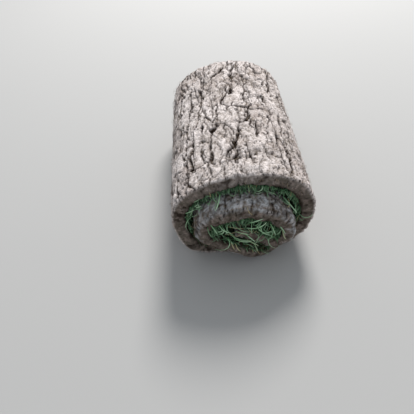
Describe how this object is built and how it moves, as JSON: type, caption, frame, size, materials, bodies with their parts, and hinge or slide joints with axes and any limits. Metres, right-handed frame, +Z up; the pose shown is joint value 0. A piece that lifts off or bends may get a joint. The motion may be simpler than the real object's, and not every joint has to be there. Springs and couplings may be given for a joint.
{
  "type": "roll of turf",
  "caption": "Strip of cut turf rolled up grass side in, lying on its side as an oval roll, with its second wrap slid a little out of one end.",
  "frame": {"origin": "centre of the bounding box on the ground", "axes": "+Y along the roll, away from the end where the second wrap stands out; +Z up; seen from the -Y end the strip winds clockwise from its tail on the ground"},
  "size_m": [0.292, 0.507, 0.2204],
  "materials": {
    "soil": "dry cracked soil bound by roots",
    "grass": "pressed lawn grass"
  },
  "bodies": {
    "root": {"soil_mat": "soil", "grass": "grass"}
  },
  "joints": []
}
